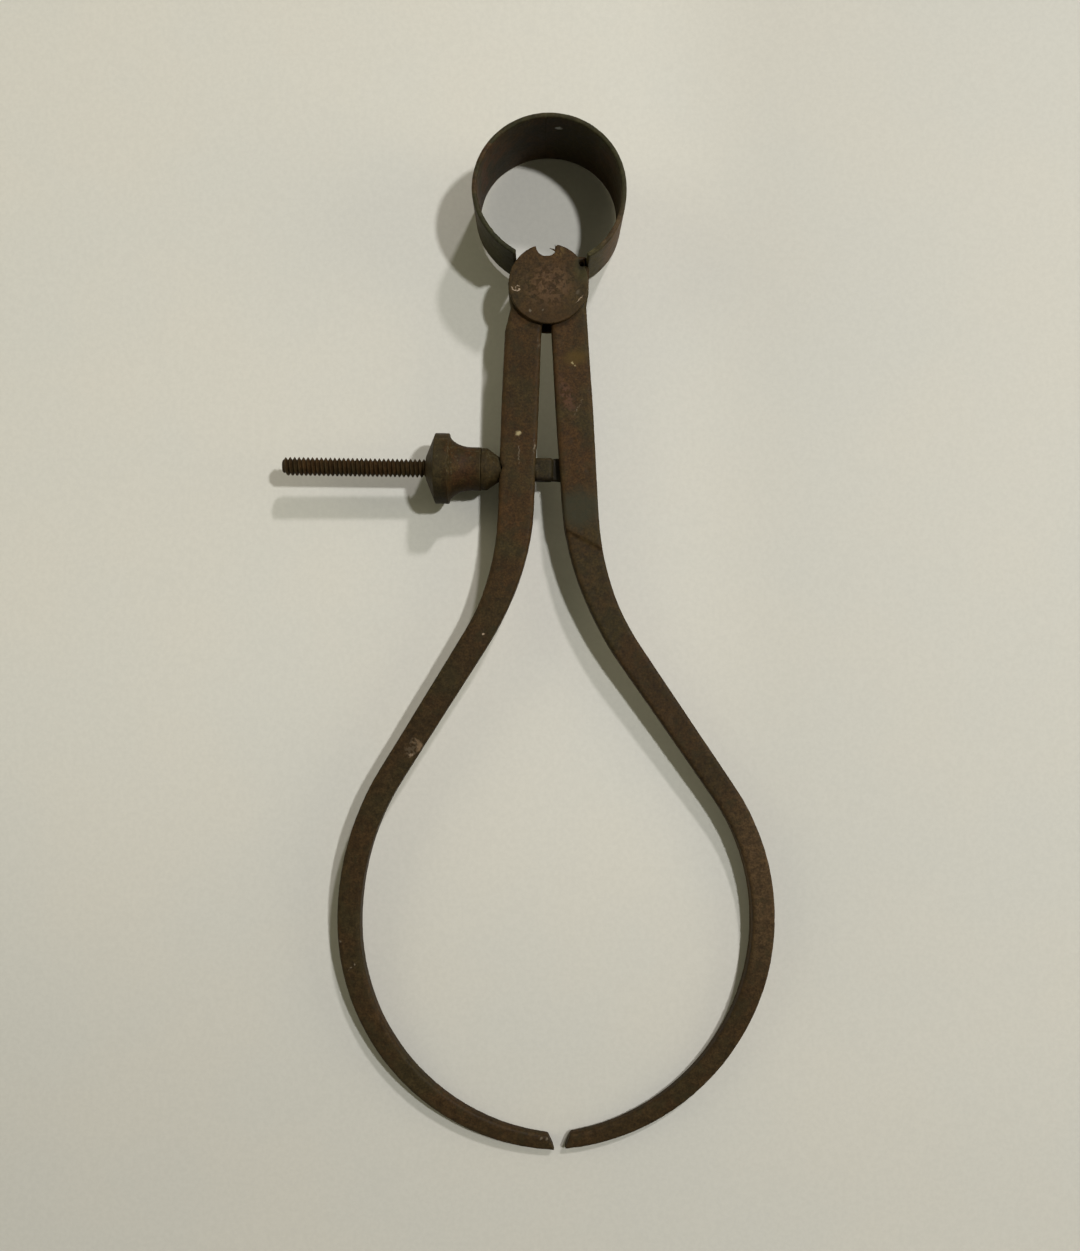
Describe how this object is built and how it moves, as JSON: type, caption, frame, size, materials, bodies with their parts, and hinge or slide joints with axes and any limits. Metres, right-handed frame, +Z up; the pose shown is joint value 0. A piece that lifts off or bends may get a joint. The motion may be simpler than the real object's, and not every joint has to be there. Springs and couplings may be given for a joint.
{
  "type": "outside caliper",
  "caption": "Old outside spring caliper: two bowed legs rocking on a stud under a ring-shaped bow spring, set by a swivelling screw and flared nut.",
  "frame": {"origin": "middle of the bounding box in plan, on the surface that the caliper lies on", "axes": "+Z up from the table, +Y from the leg tips towards the bow spring, +X towards the right leg, which carries the screw's pivot"},
  "size_m": [0.0864, 0.1812, 0.0169],
  "materials": {
    "leg_steel": "brown rust patina, finely pitted",
    "fulcrum_steel": "brown rust patina, mottled and scratched",
    "spring_steel": "olive brown patina, dull",
    "screw_steel": "dark brown patina, greasy",
    "nut_steel": "dark brown patina with worn edges"
  },
  "bodies": {
    "fulcrum": {"fulcrum_stud": "fulcrum_steel", "front_disc": "fulcrum_steel", "back_disc": "fulcrum_steel", "bow_spring": "spring_steel"},
    "right_leg": {"right_leg": "leg_steel", "swivel_pin": "leg_steel"},
    "left_leg": {"left_leg": "leg_steel"},
    "screw": {"adjusting_screw": "screw_steel"},
    "washer": {"cone_washer": "nut_steel"},
    "nut": {"adjusting_nut": "nut_steel"}
  },
  "joints": [
    {"name": "right_leg_swing", "type": "hinge", "parent": "fulcrum", "child": "right_leg", "pos_m": [0.00458, 0.06254, 0.00739], "axis": [0.0126, -0.0407, 0.9991], "range_deg": [-0.3, 20], "deforming": ["bow_spring"]},
    {"name": "left_leg_swing", "type": "hinge", "parent": "fulcrum", "child": "left_leg", "pos_m": [0.00458, 0.06254, 0.00739], "axis": [0.0126, -0.0407, 0.9991], "range_deg": [-20.1, 0.31]},
    {"name": "screw_swivel", "type": "hinge", "parent": "right_leg", "child": "screw", "pos_m": [0.00936, 0.03017, 0.00602], "axis": [0.0126, -0.0407, 0.9991], "range_deg": [-21.4, 0.33]},
    {"name": "washer_slide", "type": "slide", "parent": "screw", "child": "washer", "axis": [-0.9995, 0.0294, 0.0138], "range_m": [-0.00035, 0.0225]},
    {"name": "nut_turn", "type": "hinge", "parent": "washer", "child": "nut", "pos_m": [-0.00781, 0.03067, 0.00625], "axis": [-0.9995, 0.0294, 0.0138], "range_deg": [-153, 10140]}
  ],
  "couplings": [
    {"joint": "left_leg_swing", "follows": "right_leg_swing", "ratio": -1},
    {"joint": "screw_swivel", "follows": "right_leg_swing", "ratio": -1.065},
    {"joint": "washer_slide", "follows": "right_leg_swing", "m_per_rad": 0.064},
    {"joint": "nut_turn", "follows": "right_leg_swing", "ratio": 506.6}
  ]
}
